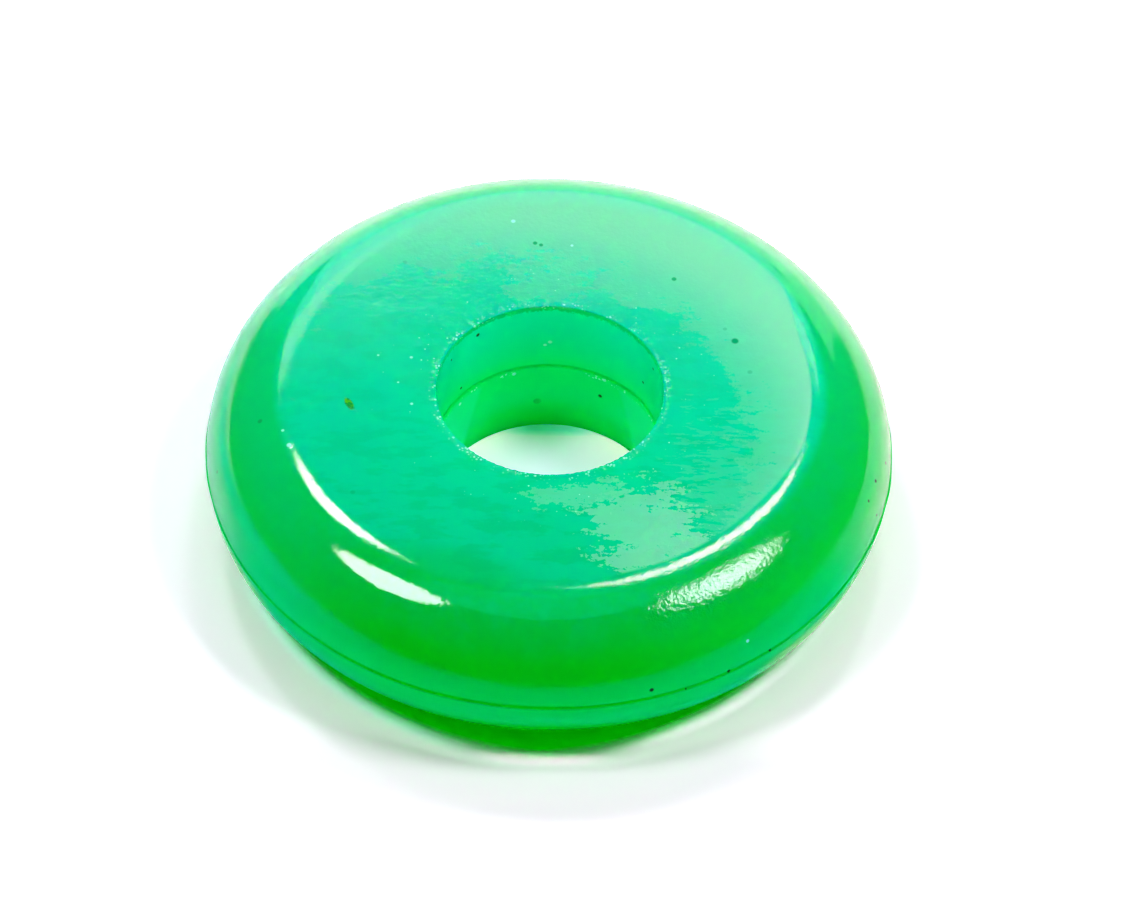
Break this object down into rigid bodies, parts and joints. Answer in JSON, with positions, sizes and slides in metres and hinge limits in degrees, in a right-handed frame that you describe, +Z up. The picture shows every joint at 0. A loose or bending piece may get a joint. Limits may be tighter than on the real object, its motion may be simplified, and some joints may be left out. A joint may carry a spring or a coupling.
{
  "type": "bump stop",
  "caption": "Round soft moulded puck with flat faces, a fully rounded edge and a plain bore, which rides on a damper rod and cushions the end of its stroke.",
  "frame": {"origin": "centre of the lower flat face, on the bore's axis", "axes": "+Z up along the bore; the part is alike all round, so +X and +Y are free"},
  "size_m": [0.051, 0.051, 0.013],
  "materials": {
    "polyurethane": "glossy cast skin, slightly see-through"
  },
  "bodies": {
    "root": {"bump_stop": "polyurethane"}
  },
  "joints": []
}
